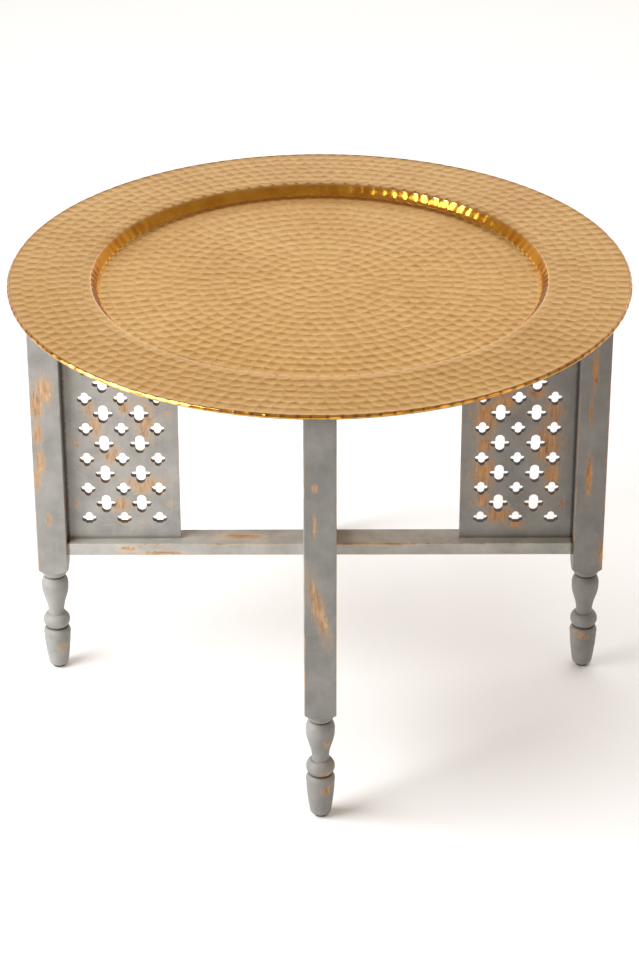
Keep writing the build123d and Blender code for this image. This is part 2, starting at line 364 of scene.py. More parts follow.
def profile_height(radius):
    """Height of the tray's upper surface: flat floor, sloping wall, flat rim."""
    slope = WELL_DEPTH / (WELL_MOUTH_RADIUS - WELL_FLOOR_RADIUS)
    rise = 0.0
    bends = ((WELL_FLOOR_RADIUS, 1, FOOT_SOFTNESS), (WELL_MOUTH_RADIUS, -1, MOUTH_SOFTNESS))
    for corner, sign, soft in bends:
        rise += sign * soft * np.logaddexp(0.0, (radius - corner) / soft)
    return TRAY_TOP - WELL_DEPTH + slope * rise


def strike_rings():
    """Rings of hammer strikes as (radius, count, jitter, zone), from the middle outwards."""
    floor_last = 2 * WELL_FLOOR_RADIUS - WALL_STRIKES_RADIUS
    floor_rings = round(floor_last / STRIKE_PITCH)
    for ring in range(floor_rings + 1):
        radius = floor_last * ring / floor_rings
        count = max(1, round(2 * math.pi * radius / STRIKE_WIDTH))
        centre_jitter = STRIKE_JITTER * math.exp(-radius / CENTRE_JITTER_REACH)
        jitter = BESIDE_WALL_JITTER if ring == floor_rings else STRIKE_JITTER + centre_jitter
        yield radius, count, jitter, "floor"
    yield WALL_STRIKES_RADIUS, WALL_STRIKES, WALL_JITTER, "wall"
    rim_first = 2 * WELL_MOUTH_RADIUS - WALL_STRIKES_RADIUS
    rim_last = BEAD_START_RADIUS - STRIKE_PITCH / 2
    rim_rings = round((rim_last - rim_first) / STRIKE_PITCH)
    for ring in range(rim_rings):
        radius = rim_first + (rim_last - rim_first) * ring / rim_rings
        jitter = BESIDE_WALL_JITTER if ring == 0 else STRIKE_JITTER
        yield radius, round(2 * math.pi * radius / STRIKE_WIDTH), jitter, "rim"
    yield rim_last, EDGE_STRIKES, 0.0, "rim"
    yield 2 * BEAD_START_RADIUS - rim_last, EDGE_STRIKES, 0.0, "outside"


def strike_centres(rng):
    """Where the hammer fell, and the zone of each strike."""
    centres, zones = [], []
    for radius, count, jitter, zone in strike_rings():
        start = 0.0 if jitter == 0 else rng.uniform(0, 2 * math.pi)
        for strike in range(count):
            sway = rng.uniform(-SIDEWAYS_JITTER, SIDEWAYS_JITTER) * jitter / max(radius, STRIKE_PITCH)
            angle = start + 2 * math.pi * strike / count + sway
            out = radius + rng.uniform(-1, 1) * jitter
            centres.append((out * math.cos(angle), out * math.sin(angle)))
            zones.append(zone)
    return np.array(centres), zones


def ridge_corners(centres):
    """Corners where three strikes meet, and each strike's own corners in order round it."""
    triangles = delaunay_2d_cdt([Vector(c) for c in centres], [], [], 0, TRIANGLE_TOLERANCE)[2]
    corners = np.array([circumcentre(*(centres[i] for i in t)) for t in triangles])
    owner = list(range(len(triangles)))

    def find(index):
        """The corner that stands for a merged group of corners."""
        while owner[index] != index:
            index = owner[index]
        return index

    by_edge = {}
    for index, triangle in enumerate(triangles):
        for a, b in zip(triangle, triangle[1:] + triangle[:1]):
            by_edge.setdefault(frozenset((a, b)), []).append(index)
    for pair in by_edge.values():
        if len(pair) == 2 and np.linalg.norm(corners[pair[0]] - corners[pair[1]]) < MERGE_DISTANCE:
            owner[find(pair[0])] = find(pair[1])
    groups = {}
    for index in range(len(triangles)):
        groups.setdefault(find(index), []).append(index)
    merged = {root: corners[members].mean(axis=0) for root, members in groups.items()}
    rings = [set() for _ in centres]
    for index, triangle in enumerate(triangles):
        for strike in triangle:
            rings[strike].add(find(index))
    ordered = []
    for strike, ring in enumerate(rings):
        middle = centres[strike]
        ordered.append(sorted(ring, key=lambda k: math.atan2(*(merged[k] - middle)[::-1])))
    return merged, ordered


def circumcentre(a, b, c):
    """The point at the same distance from three points."""
    ab, ac = b - a, c - a
    double_area = 2 * (ab[0] * ac[1] - ab[1] * ac[0])
    x = (ac[1] * ab.dot(ab) - ab[1] * ac.dot(ac)) / double_area
    y = (ab[0] * ac.dot(ac) - ac[0] * ab.dot(ab)) / double_area
    return a + np.array((x, y))


def surface_point(plan, depth):
    """A point of the upper surface over a plan position, sunk along the normal by a depth."""
    radius = float(np.hypot(*plan))
    rise = profile_height(radius + SLOPE_STEP) - profile_height(radius - SLOPE_STEP)
    slope = rise / (2 * SLOPE_STEP)
    tilt = math.atan(slope)
    outward = plan / radius if radius > 0 else np.zeros(2)
    moved = plan + outward * depth * math.sin(tilt)
    return (*moved, profile_height(radius) - depth * math.cos(tilt))


def bowl_depth(distance, zone):
    """How deep the sheet is below its ridge tops at a distance from a strike's centre."""
    if zone == "wall":
        return max(0.0, WALL_DENT_DEPTH - distance ** 2 / (2 * WALL_HAMMER_RADIUS))
    return max(0.0, DENT_DEPTH - distance ** 2 / (2 * HAMMER_FACE_RADIUS))


class RidgeNet:
    """The vertices along the ridges, which the marks on both sides of a ridge share."""

    def __init__(self, sheet, centres, zones):
        self.sheet = sheet
        self.centres = centres
        self.zones = zones
        self.wall_centres = centres[[zone == "wall" for zone in zones]]
        self.shared = {}
        self.outer = {}

    def zones_near(self, plan):
        """The distance to the nearest strike, and the zones of all that are about as near."""
        distances = np.hypot(*(self.centres - plan).T)
        nearest = np.argsort(distances)[:3]
        limit = distances[nearest[0]] + MERGE_DISTANCE
        return distances[nearest[0]], {self.zones[i] for i in nearest if distances[i] < limit}

    def foot_reach(self, plan, radius):
        """Distance from the axis to the wall's foot, where each wall facet ends in a tongue."""
        offsets = plan - self.wall_centres
        nearest = offsets[np.argmin(np.hypot(*offsets.T))]
        across = (nearest[1] * plan[0] - nearest[0] * plan[1]) / radius
        half_width = math.pi * WELL_FLOOR_RADIUS / WALL_STRIKES
        return WELL_FLOOR_RADIUS - FOOT_SCALLOP * max(0.0, 1 - (across / half_width) ** 2)

    def vertex(self, key, plan):
        """A vertex on a ridge as (index, plan position), made the first time its key is asked for."""
        if key not in self.shared:
            distance, near = self.zones_near(plan)
            radius = np.hypot(*plan)
            depth = bowl_depth(distance, "rim")
            if "outside" in near:
                plan = plan * BEAD_START_RADIUS / radius
            elif near >= {"wall", "rim"}:
                plan = plan * WELL_MOUTH_RADIUS / radius
                depth = MOUTH_DEPTH
            elif near >= {"wall", "floor"}:
                plan = plan * self.foot_reach(plan, radius) / radius
                depth = 0.0
            index = self.sheet.add(surface_point(plan, depth), 1.0)
            self.shared[key] = index, plan
            if "outside" in near:
                self.outer[index] = math.atan2(plan[1], plan[0]) % (2 * math.pi)
        return self.shared[key]

    def side(self, a, b, corners):
        """The vertices from one corner of a mark up to its next corner."""
        beside = self.zones_near((corners[a] + corners[b]) / 2)[1]
        steps = WALL_STEPS if len(beside) > 1 else FIELD_STEPS
        if "outside" in beside:
            steps = EDGE_STEPS
        for step in range(steps):
            share = step / steps
            key = a if step == 0 else (min(a, b), max(a, b), step if a < b else steps - step)
            yield self.vertex(key, corners[a] * (1 - share) + corners[b] * share)


def hammer_top(sheet, rng):
    """Build every hammered mark as a shallow bowl. Returns the outer loop, in order of angle."""
    centres, zones = strike_centres(rng)
    corners, cells = ridge_corners(centres)
    net = RidgeNet(sheet, centres, zones)
    for centre, zone, cell in zip(centres, zones, cells):
        if zone != "outside":
            sides = zip(cell, cell[1:] + cell[:1])
            ridge = [vertex for a, b in sides for vertex in net.side(a, b, corners)]
            build_bowl(sheet, centre, zone, ridge, rng)
    return sorted(net.outer, key=net.outer.get)


def build_bowl(sheet, centre, zone, ridge, rng):
    """One mark: two rings inside its ridge and a tip in its centre, tilted a little at random."""
    polished = zone == "wall"
    most = WALL_LEAN if polished else LEAN
    lean = np.array((rng.uniform(-most, most), rng.uniform(-most, most)))
    press = rng.uniform(-PRESS, PRESS)
    sideways = np.array((-centre[1], centre[0])) / max(np.hypot(*centre), STRIKE_PITCH)

    def inner_vertex(plan, share):
        """A vertex at a share of the way from the mark's centre to a point on its ridge."""
        offset = (plan - centre) * share
        reach = abs(offset @ sideways) if polished else np.hypot(*offset)
        depth = bowl_depth(reach, zone)
        own = (1 - share) * (press + float(offset @ lean))
        point = surface_point(centre + offset, max(0.0, depth + own))
        ridge_share = max(0.0, 3 * share - 2)  # 1 on the ridge, 0 from a third of the way in
        return sheet.add(point, ridge_share)

    middle_ring = [inner_vertex(plan, INNER_RINGS[0]) for _, plan in ridge]
    inner_ring = [inner_vertex(plan, INNER_RINGS[1]) for _, plan in ridge[::2]]
    tip = inner_vertex(centre, 0.0)
    count = len(ridge)
    for k in range(count):
        n = (k + 1) % count
        sheet.face((ridge[k][0], ridge[n][0], middle_ring[n], middle_ring[k]), polished)
    for k in range(0, count, 2):
        inner, inner_next = inner_ring[k // 2], inner_ring[(k // 2 + 1) % len(inner_ring)]
        first, second, third = (middle_ring[(k + step) % count] for step in range(3))
        sheet.face((first, second, inner), polished)
        sheet.face((second, inner_next, inner), polished)
        sheet.face((second, third, inner_next), polished)
        sheet.face((inner, inner_next, tip), polished)


def facet_widths(total, facets, rng):
    """Whole step counts for each facet that differ a little and add up to the total."""
    mean = total // facets
    widths = [mean] * facets
    for _ in range(facets):
        grow, shrink = rng.randrange(facets), rng.randrange(facets)
        if widths[grow] == mean and widths[shrink] == mean and grow != shrink:
            widths[grow] += 1
            widths[shrink] -= 1
    return widths


def hammer_bead(sheet, start_loop, rng):
    """Curl the edge over and under, with one row of flat facets cut on it. Returns the last loop."""
    cuts = []
    for width in facet_widths(len(start_loop), BEAD_FACETS, rng):
        depth = BEAD_DENT * rng.uniform(*BEAD_DENT_SHARES)
        swing = rng.uniform(-BEAD_FACET_SWING, BEAD_FACET_SWING)
        facing = math.radians(BEAD_FACET_FACING + swing)
        skew = rng.uniform(*BEAD_FACET_SKEWS)
        for step in range(width):
            along = 2 * (step / width) ** skew - 1
            cuts.append((depth * (1 - along ** 2), facing))
    previous = start_loop
    for turn in BEAD_TURNS:
        angle = math.radians(turn)
        loop = []
        for index, (depth, facing) in zip(start_loop, cuts):
            x, y, _ = sheet.points[index]
            around = math.atan2(y, x)
            toward = math.cos(angle - facing)
            radius = BEAD_RADIUS
            if toward > BEAD_CUT_COSINE:
                radius = min(radius, (BEAD_RADIUS - depth) / toward)
            out = BEAD_CENTRE.x + radius * math.cos(angle)
            height = BEAD_CENTRE.y + radius * math.sin(angle)
            place = (out * math.cos(around), out * math.sin(around), height)
            loop.append(sheet.add(place, 1.0 - depth / BEAD_DENT))
        for k in range(len(loop)):
            n = (k + 1) % len(loop)
            sheet.face((previous[k], loop[k], loop[n], previous[n]), True)
        previous = loop
    return previous


def close_underside(sheet, bead_loop):
    """A plain offset surface under the sheet, from the curl in to the middle."""
    first = sheet.points[bead_loop[0]]
    start = math.atan2(first[1], first[0])
    previous = bead_loop
    for outer, inner, count in UNDERSIDE_STRETCHES:
        for step in range(count):
            radius = outer + (inner - outer) * step / (count - 1)
            height = max(profile_height(radius - UNDERSIDE_SHIFT) - SHEET_THICKNESS, TRAY_LOW.z)
            loop = []
            for k in range(UNDERSIDE_STEPS):
                angle = start + 2 * math.pi * k / UNDERSIDE_STEPS
                loop.append(sheet.add((radius * math.cos(angle), radius * math.sin(angle), height)))
            sheet.bridge(previous, loop, False)
            previous = loop
    middle = sheet.add((0.0, 0.0, TRAY_TOP - WELL_DEPTH - SHEET_THICKNESS))
    for k in range(len(previous)):
        sheet.face((previous[k], previous[(k + 1) % len(previous)], middle), False)


def crease_wall_foot(mesh):
    """Mark the line between the well's wall and its floor as a crisp edge."""
    sides = {}
    for polygon in mesh.polygons:
        for key in polygon.edge_keys:
            sides.setdefault(key, set()).add(polygon.material_index)
    crisp = []
    for edge in mesh.edges:
        reach = mesh.vertices[edge.vertices[0]].co.xy.length
        crisp.append(len(sides[edge.key]) == 2 and reach < WALL_STRIKES_RADIUS)
    mesh.attributes.new("sharp_edge", "BOOLEAN", "EDGE").data.foreach_set("value", crisp)


def make_tray(satin, polished):
    """The whole hammered tray as one closed mesh."""
    rng = random.Random(HAMMER_SEED)
    sheet = SheetMesh()
    edge = hammer_top(sheet, rng)
    bead_end = hammer_bead(sheet, edge, rng)
    close_underside(sheet, bead_end)
    mesh = bpy.data.meshes.new("hammered_tray")
    mesh.from_pydata(sheet.points, [], sheet.faces)
    mesh.materials.append(satin)
    mesh.materials.append(polished)
    mesh.polygons.foreach_set("material_index", [int(p) for p in sheet.polished])
    mesh.attributes.new("ridge", "FLOAT", "POINT").data.foreach_set("value", sheet.ridge)
    mesh.shade_smooth()
    crease_wall_foot(mesh)
    mesh.update()
    tray = bpy.data.objects.new("hammered_tray", mesh)
    bpy.context.scene.collection.objects.link(tray)
    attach(tray, "tray")
    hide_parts("tray")


# ------------------------------------------------------------------ brass
SATIN_TONES = (rgb(192, 144, 66), rgb(200, 154, 76), rgb(206, 162, 90))
WALL_TONES = (rgb(208, 136, 38), rgb(234, 172, 64))
EDGE_TONES = (rgb(220, 150, 38), rgb(242, 184, 76))
BROWNED_RIDGE_AND_SHADE = rgb(182, 112, 36)
LIP_BRASS_AND_HIGHLIGHT = rgb(232, 200, 164)
TARNISH_AND_SHADE = rgb(96, 50, 14)
EDGE_TINT = (0.5, 0.5, 0.62, 1.0)
DOWNWARD = -0.3


def reach_from_axis(s, place):
    """Distance from the tray's axis."""
    return s.length(s.vector("MULTIPLY", place, (1.0, 1.0, 0.0)))


def burnished_lip_and_highlight(s, reach, colour):
    """The colour with the well's lip paler: rubbed where hands and cloths pass over it, and a painted
    highlight along the mouth.
    """
    # Painted highlight with rubbing: a pale line along the well's mouth.
    rubbed_and_lit = s.spread(s.gap(reach, WELL_MOUTH_RADIUS), 0.4 * MM, 1.6 * MM, 0.45, 0.0)
    return s.mix(rubbed_and_lit, colour, LIP_BRASS_AND_HIGHLIGHT)


def underside_marks(s, place):
    """Height of the hammer marks that show through on the plain underside, and 0 elsewhere."""
    marks = s.node("ShaderNodeTexVoronoi", feature="SMOOTH_F1")
    s.wire(marks.inputs["Vector"], place)
    s.wire(marks.inputs["Scale"], 1 / STRIKE_WIDTH)
    faces_down = s.math("LESS_THAN", s.facing("Z"), DOWNWARD)
    return s.math("MULTIPLY", marks.outputs["Distance"], faces_down)


def satin_brass():
    """Satin hammered brass under thin lacquer, browner in places on the ridges: patina and painted shade.
    """
    s = Shader("satin_brass")
    place = s.place()
    browning_cloud = s.noise(place, 46.0, 4.0, 0.6)
    base = s.ramp(s.noise(place, 7.0, 4.0, 0.6), *zip((0.3, 0.5, 0.7), SATIN_TONES))
    # Painted shade mixed with patina: the ridges between marks are browned in places.
    browned_and_shaded = s.math("MULTIPLY", s.ridge(), s.spread(browning_cloud, 0.42, 0.7, 0.0, 0.5))
    colour = s.mix(browned_and_shaded, base, BROWNED_RIDGE_AND_SHADE)
    reach = reach_from_axis(s, place)
    on_rim = s.spread(reach, WELL_MOUTH_RADIUS, WELL_MOUTH_RADIUS + 4.0 * MM, 0.0, 0.1)
    colour = burnished_lip_and_highlight(s, reach, s.mix(on_rim, colour, TARNISH_AND_SHADE))
    roughness = s.speckled(place, 220.0, 0.28, 0.38)
    normal = s.bump(s.noise(place, 700.0, 3.0), 0.03 * MM, 0.5)
    normal = s.bump(underside_marks(s, place), 1.2 * MM, 0.5, normal)
    return s.finish(
        Base_Color=colour, Metallic=1.0, Roughness=roughness, Normal=normal,
        Coat_Weight=0.2, Coat_Roughness=0.2,
    )


def edge_tarnish_and_shade(s, reach):
    """How dark the curled edge is painted: tarnish with painted shade on the ridges between facets, where
    it faces down and in its seam.
    """
    on_ridges = s.spread(s.ridge(), 0.4, 1.0, 0.0, 0.62)
    underneath = s.spread(s.facing("Z"), -0.6, 0.0, 0.6, 0.0)
    in_seam = s.spread(s.gap(reach, BEAD_SEAM_RADIUS), 0.3 * MM, 1.2 * MM, 0.7, 0.0)
    return s.combine("MAXIMUM", on_ridges, underneath, in_seam)


def polished_brass():
    """The well's wall and the curled edge: deeper gold, with thick lacquer on the edge."""
    s = Shader("polished_brass")
    place = s.place()
    reach = reach_from_axis(s, place)
    cloud = s.noise(place, 40.0, 3.0)
    wall = s.ramp(cloud, *zip((0.3, 0.7), WALL_TONES))
    edge = s.ramp(cloud, *zip((0.3, 0.7), EDGE_TONES))
    # Painted shade with tarnish on the curled edge.
    edge = s.mix(edge_tarnish_and_shade(s, reach), edge, TARNISH_AND_SHADE)
    on_edge = s.spread(reach, BEAD_START_RADIUS - 4.0 * MM, BEAD_START_RADIUS)
    colour = burnished_lip_and_highlight(s, reach, s.mix(on_edge, wall, edge))
    roughness = s.speckled(place, 160.0, 0.12, 0.22)
    normal = s.bump(s.noise(place, 260.0, 3.0), 0.1 * MM, 0.5)
    lacquer = s.math("ADD", s.math("MULTIPLY", on_edge, 0.6), 0.1)
    return s.finish(
        Base_Color=colour, Metallic=1.0, Roughness=roughness, Normal=normal,
        Coat_Weight=lacquer, Coat_Roughness=0.1, Coat_IOR=1.65, Specular_Tint=EDGE_TINT,
    )


# ------------------------------------------------------------------ painted wood
PAINT_DARK = rgb(127, 126, 123)
PAINT_LIGHT = rgb(153, 152, 148)
PAINT_THIN = rgb(172, 152, 128)
PALE_WOOD = (rgb(126, 92, 62), rgb(168, 130, 92), rgb(196, 164, 126))
RUSTY_WOOD = (rgb(128, 80, 38), rgb(180, 124, 66), rgb(206, 156, 98))
GRIME_AND_SHADE = rgb(62, 54, 46)
AXES = {"X": 0, "Y": 1, "Z": 2}

# Wear is below 0 where the paint holds. Noise of the strength RAGGEDNESS breaks up its outline, and
# PAINT_HOLD is taken off everywhere.
UNWORN = -0.8
RAGGEDNESS = 2.0
PAINT_HOLD = 0.1

# Painted shade, with grime in the grooves, darkens the turned grooves of the feet, by height, and
# the lines where the pieces meet: on the legs' inner faces its middle stands half a millimetre out.
FOOT_GROOVES = (60.8 * MM, 136.5 * MM)
LEG_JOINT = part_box("a_right_leg")[0].x - 0.5 * MM
GROOVE_DIRT_AND_SHADE = 0.85
PANEL_SIDE_SHADE = 0.9
PANEL_FOOT_SHADE = 0.35
RAIL_END_SHADE = 0.85
HOLE_SIDE_CHAR_AND_SHADE = 0.9
JOINT_RAGGEDNESS = 5.0 * MM

# The pierced lattice: rows and columns of four-lobed clovers, with crosses in between.
LATTICE_CENTRE = 248.25 * MM
LATTICE_COLUMN_PITCH = 44.75 * MM
LATTICE_ROW_PITCH = 42.5 * MM
FIRST_ROW_ABOVE_RAIL = 28.8 * MM
LATTICE_FIELD_HALF_WIDTH = 62.0 * MM
CLOVER_REACH = 9.3 * MM
CLOVER_LOBE = 4.3 * MM
CROSS_REACH = 12.5 * MM
CROSS_UPRIGHT_RADIUS = 5.9 * MM
CROSS_BAR_RADIUS = 3.7 * MM


def stretched(s, place, along, across_scale, along_scale):
    """Coordinates pulled out along a piece's length, for grain and brush marks."""
    scale = [across_scale] * 3
    scale[AXES[along]] = along_scale
    return s.vector("MULTIPLY", place, tuple(scale))


def worn_spot(s, place, centre, size, lean_degrees=0.0):
    """1 at a spot's centre, 0 on its edge and less outside. The lean turns it about Y."""
    node = s.node("ShaderNodeMapping", place, vector_type="TEXTURE")
    node.inputs["Location"].default_value = [c * MM for c in centre]
    node.inputs["Rotation"].default_value = (0.0, math.radians(lean_degrees), 0.0)
    node.inputs["Scale"].default_value = [c * MM for c in size]
    return s.math("SUBTRACT", 1.0, s.length(node.outputs[0]))


def edge_gap(s, place, low, high, along):
    """Distance from the nearest of the four long edges of a bar."""
    middle = (low + high) / 2
    half = (high - low) / 2
    gap = s.vector("SUBTRACT", place, tuple(middle))
    gap = s.vector("SUBTRACT", tuple(half), s.vector("ABSOLUTE", gap))
    keep = [1.0, 1.0, 1.0]
    keep[AXES[along]] = 0.0
    return s.length(s.vector("MULTIPLY", gap, tuple(keep)))


def wear_map(s, place, along, box, spots, hole_gap, ragged):
    """How far the paint is rubbed: at the spots, and in patches along the edges and round holes."""
    patches = s.noise(place, 15.0, 2.0)
    edge = s.spread(edge_gap(s, place, *box, along), 0.0, 2.4 * MM, 0.8, UNWORN)
    wear = s.math("MINIMUM", edge, s.spread(patches, 0.36, 0.62, UNWORN, 0.4))
    for spot in spots:
        wear = s.math("MAXIMUM", wear, worn_spot(s, place, *spot))
    if hole_gap is not None:
        rim = s.spread(hole_gap, 0.0, 2.8 * MM, 0.3, UNWORN)
        rim = s.math("MINIMUM", rim, s.spread(patches, 0.34, 0.56, UNWORN, 0.3))
        wear = s.math("MAXIMUM", wear, rim)
    noise = s.math("SUBTRACT", s.math("MULTIPLY", ragged, RAGGEDNESS), RAGGEDNESS + PAINT_HOLD)
    return s.math("ADD", wear, noise)


def with_grime_and_shade(s, colour, place, grooves, joints, hole_side, rub):
    """The colour darkened by painted shade in the grooves, along the joints and on the sides of the holes,
    with grime in the grooves and char on the hole sides.
    """
    axes = s.split(place)
    for groove in grooves:
        # Painted shade with grime in the turned grooves.
        dirt_and_shade = s.spread(s.gap(axes["Z"], groove), 0.4 * MM, 2.4 * MM, GROOVE_DIRT_AND_SHADE, 0.0)
        colour = s.mix(dirt_and_shade, colour, GRIME_AND_SHADE)
    # Painted shade along the joints where the panels and rails meet the legs and the rail.
    for axis, joint, most in joints:
        uneven = s.math("MULTIPLY", s.math("SUBTRACT", rub, 0.5), JOINT_RAGGEDNESS)
        off = s.math("ADD", s.gap(axes[axis], joint), uneven)
        colour = s.mix(s.spread(off, 1.4 * MM, 5.0 * MM, most, 0.0), colour, GRIME_AND_SHADE)
    # Painted shade with char on the sides of the holes.
    if hole_side is not None:
        colour = s.mix(s.math("MULTIPLY", hole_side, HOLE_SIDE_CHAR_AND_SHADE), colour, GRIME_AND_SHADE)
    return colour


def painted_wood(name, along, box, spots, shade, grooves, lattice, joints):
    """Grey paint over wood, rubbed through at the given spots and thinly along the edges."""
    s = Shader(name)
    place = s.place()
    mottle = s.noise(place, 26.0, 6.0, 0.65)
    brush = s.noise(stretched(s, place, along, 300.0, 22.0), 1.0, 3.0)
    rub = s.noise(place, 300.0, 6.0, 0.7)
    drag = s.noise(stretched(s, place, along, 480.0, 110.0), 1.0, 5.0, 0.7)
    grain = s.noise(stretched(s, place, along, 240.0, 40.0), 1.0, 5.0, 0.6, 0.6)
    hole_gap, hole_side = lattice_gap(s, place, *lattice) if lattice else (None, None)

    wear = wear_map(s, place, along, box, spots, hole_gap, s.math("ADD", rub, drag))
    bare = s.spread(wear, -0.02, 0.42, 0.0, 0.9)
    thin = s.spread(wear, -0.5, 0.1, 0.0, 0.6)

    tone = s.math("ADD", s.math("MULTIPLY", mottle, 0.88), s.math("MULTIPLY", brush, 0.12))
    # The shade factor is partly paint tone and partly painted light and shade.
    paint = s.ramp(tone, (0.34, shaded(PAINT_DARK, shade)), (0.66, shaded(PAINT_LIGHT, shade)))
    paint = s.mix(thin, paint, shaded(PAINT_THIN, shade))
    woods = RUSTY_WOOD if "a_right" in name else PALE_WOOD
    wood = s.ramp(grain, *zip((0.32, 0.5, 0.7), woods))
    colour = with_grime_and_shade(s, s.mix(bare, paint, wood), place, grooves, joints, hole_side, rub)

    relief = s.math("SUBTRACT", s.math("MULTIPLY", mottle, 0.5), bare)
    relief = s.math("ADD", relief, s.math("MULTIPLY", grain, 0.4))
    normal = s.bump(relief, 0.22 * MM, 0.6)
    return s.finish(Base_Color=colour, Roughness=0.55, Normal=normal)


def off_row(s, value, start, pitch):
    """How far a value is from the nearest point of an evenly spaced row."""
    step = s.math("DIVIDE", s.math("SUBTRACT", value, start), pitch)
    off = s.math("SUBTRACT", step, s.math("ROUND", step))
    return s.math("ABSOLUTE", s.math("MULTIPLY", off, pitch))


def slot_gap(s, along, across, half_length, radius):
    """Distance outside a slot with round ends, from offsets along and across it."""
    beyond = s.math("MAXIMUM", s.math("SUBTRACT", along, half_length - radius), 0.0)
    reach = s.math("SQRT", s.math("ADD", s.math("POWER", beyond, 2.0), s.math("POWER", across, 2.0)))
    return s.math("SUBTRACT", reach, radius)


def lattice_gap(s, place, run, first_row):
    """Distance from the nearest hole in a panel's face, and 1 on the sides of the holes."""
    axes = s.split(place)
    out = s.math("ABSOLUTE", axes[run])
    half_column, half_row = LATTICE_COLUMN_PITCH / 2, LATTICE_ROW_PITCH / 2

    aside = off_row(s, out, LATTICE_CENTRE, LATTICE_COLUMN_PITCH)
    above = off_row(s, axes["Z"], first_row, LATTICE_ROW_PITCH)
    clover = slot_gap(s, aside, above, CLOVER_REACH, CLOVER_LOBE)
    clover = s.math("MINIMUM", clover, slot_gap(s, above, aside, CLOVER_REACH, CLOVER_LOBE))

    aside = off_row(s, out, LATTICE_CENTRE + half_column, LATTICE_COLUMN_PITCH)
    above = off_row(s, axes["Z"], first_row + half_row, LATTICE_ROW_PITCH)
    cross = slot_gap(s, above, aside, CROSS_REACH, CROSS_UPRIGHT_RADIUS)
    cross = s.math("MINIMUM", cross, slot_gap(s, aside, above, CROSS_REACH, CROSS_BAR_RADIUS))

    in_field = s.math("COMPARE", out, LATTICE_CENTRE, LATTICE_FIELD_HALF_WIDTH)
    above_margin = s.math("GREATER_THAN", axes["Z"], first_row - half_row / 2)
    gap = s.math("ADD", s.math("MINIMUM", clover, cross), s.math("SUBTRACT", 1.0, in_field))
    gap = s.math("ADD", gap, s.math("SUBTRACT", 1.0, above_margin))
    faces_out = s.math("ABSOLUTE", s.facing("Y" if run == "X" else "X"))
    side = s.math("MULTIPLY", in_field, s.spread(faces_out, 0.4, 0.8, 1.0, 0.0))
    return gap, s.math("MULTIPLY", side, above_margin)


# Worn places by node: centre and half sizes in millimetres, and a lean in degrees about Y.
WORN = {
    "a_left_leg": [
        ((-341, -19, 410), (11, 6, 20)),
        ((-352, -19, 390), (9, 6, 24)),
        ((-352, -19, 349), (7, 6, 16)),
        ((-350, -19, 309), (6, 6, 20)),
        ((-355, -19, 288), (4, 6, 22)),
        ((-343, -19, 226), (4, 6, 8)),
        ((-334, -12, 34), (8, 8, 6)),
    ],
    "a_right_leg": [
        ((340, -19, 437), (4, 6, 34)),
        ((337, -19, 380), (2.5, 6, 22)),
        ((338, -19, 289), (5, 6, 32)),
        ((358, -19, 176), (4, 6, 22)),
        ((330, -16, 55), (11, 9, 2.4)),
        ((340, -16, 49), (11, 9, 2.4)),
    ],
    "b_front_leg": [
        ((-2, -360, 297), (8, 6, 50), -14),
        ((-6, -360, 457), (4, 6, 6)),
        ((-6, -360, 408), (2.4, 6, 18)),
        ((8, -356, 106), (5, 6, 8)),
        ((8, -356, 64), (8, 8, 6)),
        ((8, -354, 43), (9, 8, 6)),
    ],
    "b_back_leg": [
        ((4, 360, 330), (8, 6, 44), 14),
        ((-6, 360, 470), (6, 6, 20)),
        ((6, 358, 60), (9, 8, 6)),
    ],
    "a_lower_rail": [
        ((-100, 0, 191), (30, 8, 5)),
        ((-200, -19, 178), (32, 6, 4)),
        ((-245, -19, 184), (13, 6, 4)),
        ((70, -19, 191), (70, 3, 3)),
        ((150, 19, 181), (40, 6, 7)),
    ],
    "b_lower_rail": [
        ((0, 110, 209), (8, 36, 5)),
        ((19, -90, 200), (6, 44, 6)),
        ((-19, 180, 198), (6, 30, 6)),
    ],
    "a_left_panel": [
        ((-287, 0, 377), (8, 9, 11)),
        ((-280, 0, 353), (9, 9, 22)),
        ((-262, 0, 312), (13, 9, 17)),
        ((-243, 0, 378), (10, 9, 11)),
        ((-219, 0, 358), (13, 9, 34)),
        ((-222, 0, 269), (28, 9, 15)),
        ((-252, 0, 240), (15, 9, 12)),
    ],
    "a_right_panel": [
        ((207, 0, 366), (18, 9, 40)),
        ((206, 0, 325), (14, 9, 16)),
        ((206, 0, 286), (18, 9, 34)),
        ((206, 0, 248), (12, 9, 15)),
        ((226, 0, 226), (20, 9, 17)),
        ((247, 0, 212), (15, 9, 9)),
        ((292, 0, 372), (12, 9, 24)),
        ((285, 0, 326), (22, 9, 38)),
        ((292, 0, 282), (12, 9, 28)),
        ((231, 0, 386), (19, 9, 18)),
        ((270, 0, 398), (14, 9, 12)),
    ],
    "b_front_panel": [
        ((0, -222, 372), (9, 18, 40)),
        ((0, -280, 300), (9, 15, 36)),
    ],
    "b_back_panel": [
        ((0, 214, 330), (9, 15, 46)),
        ((0, 276, 404), (9, 18, 30)),
    ],
}

# How light each node's paint is, where it isn't 1: partly the paint's own tone and partly painted light
# and shade, with the right-hand pieces and the front leg painted darker as if in shade.
TONES_AND_SHADE = {
    "a_left_leg": 0.92,
    "a_left_panel": 1.09,
    "a_lower_rail": 1.36,
    "a_right_leg": 0.79,
    "a_right_panel": 0.8,
    "b_front_leg": 0.81,
}


def dress_frame():
    """Give every wooden piece its own paint, and the small parts steel and plastic."""
    steel = zinc_steel()
    plastic = glide_plastic()
    for node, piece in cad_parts.items():
        if node == "tray":
            continue
        if "glide" in node and "nails" not in node:
            material = plastic
        elif "nails" in node or "pivot" in node or "wire" in node:
            material = steel
        else:
            material = wood_for(node)
        piece.data.materials.clear()
        piece.data.materials.append(material)


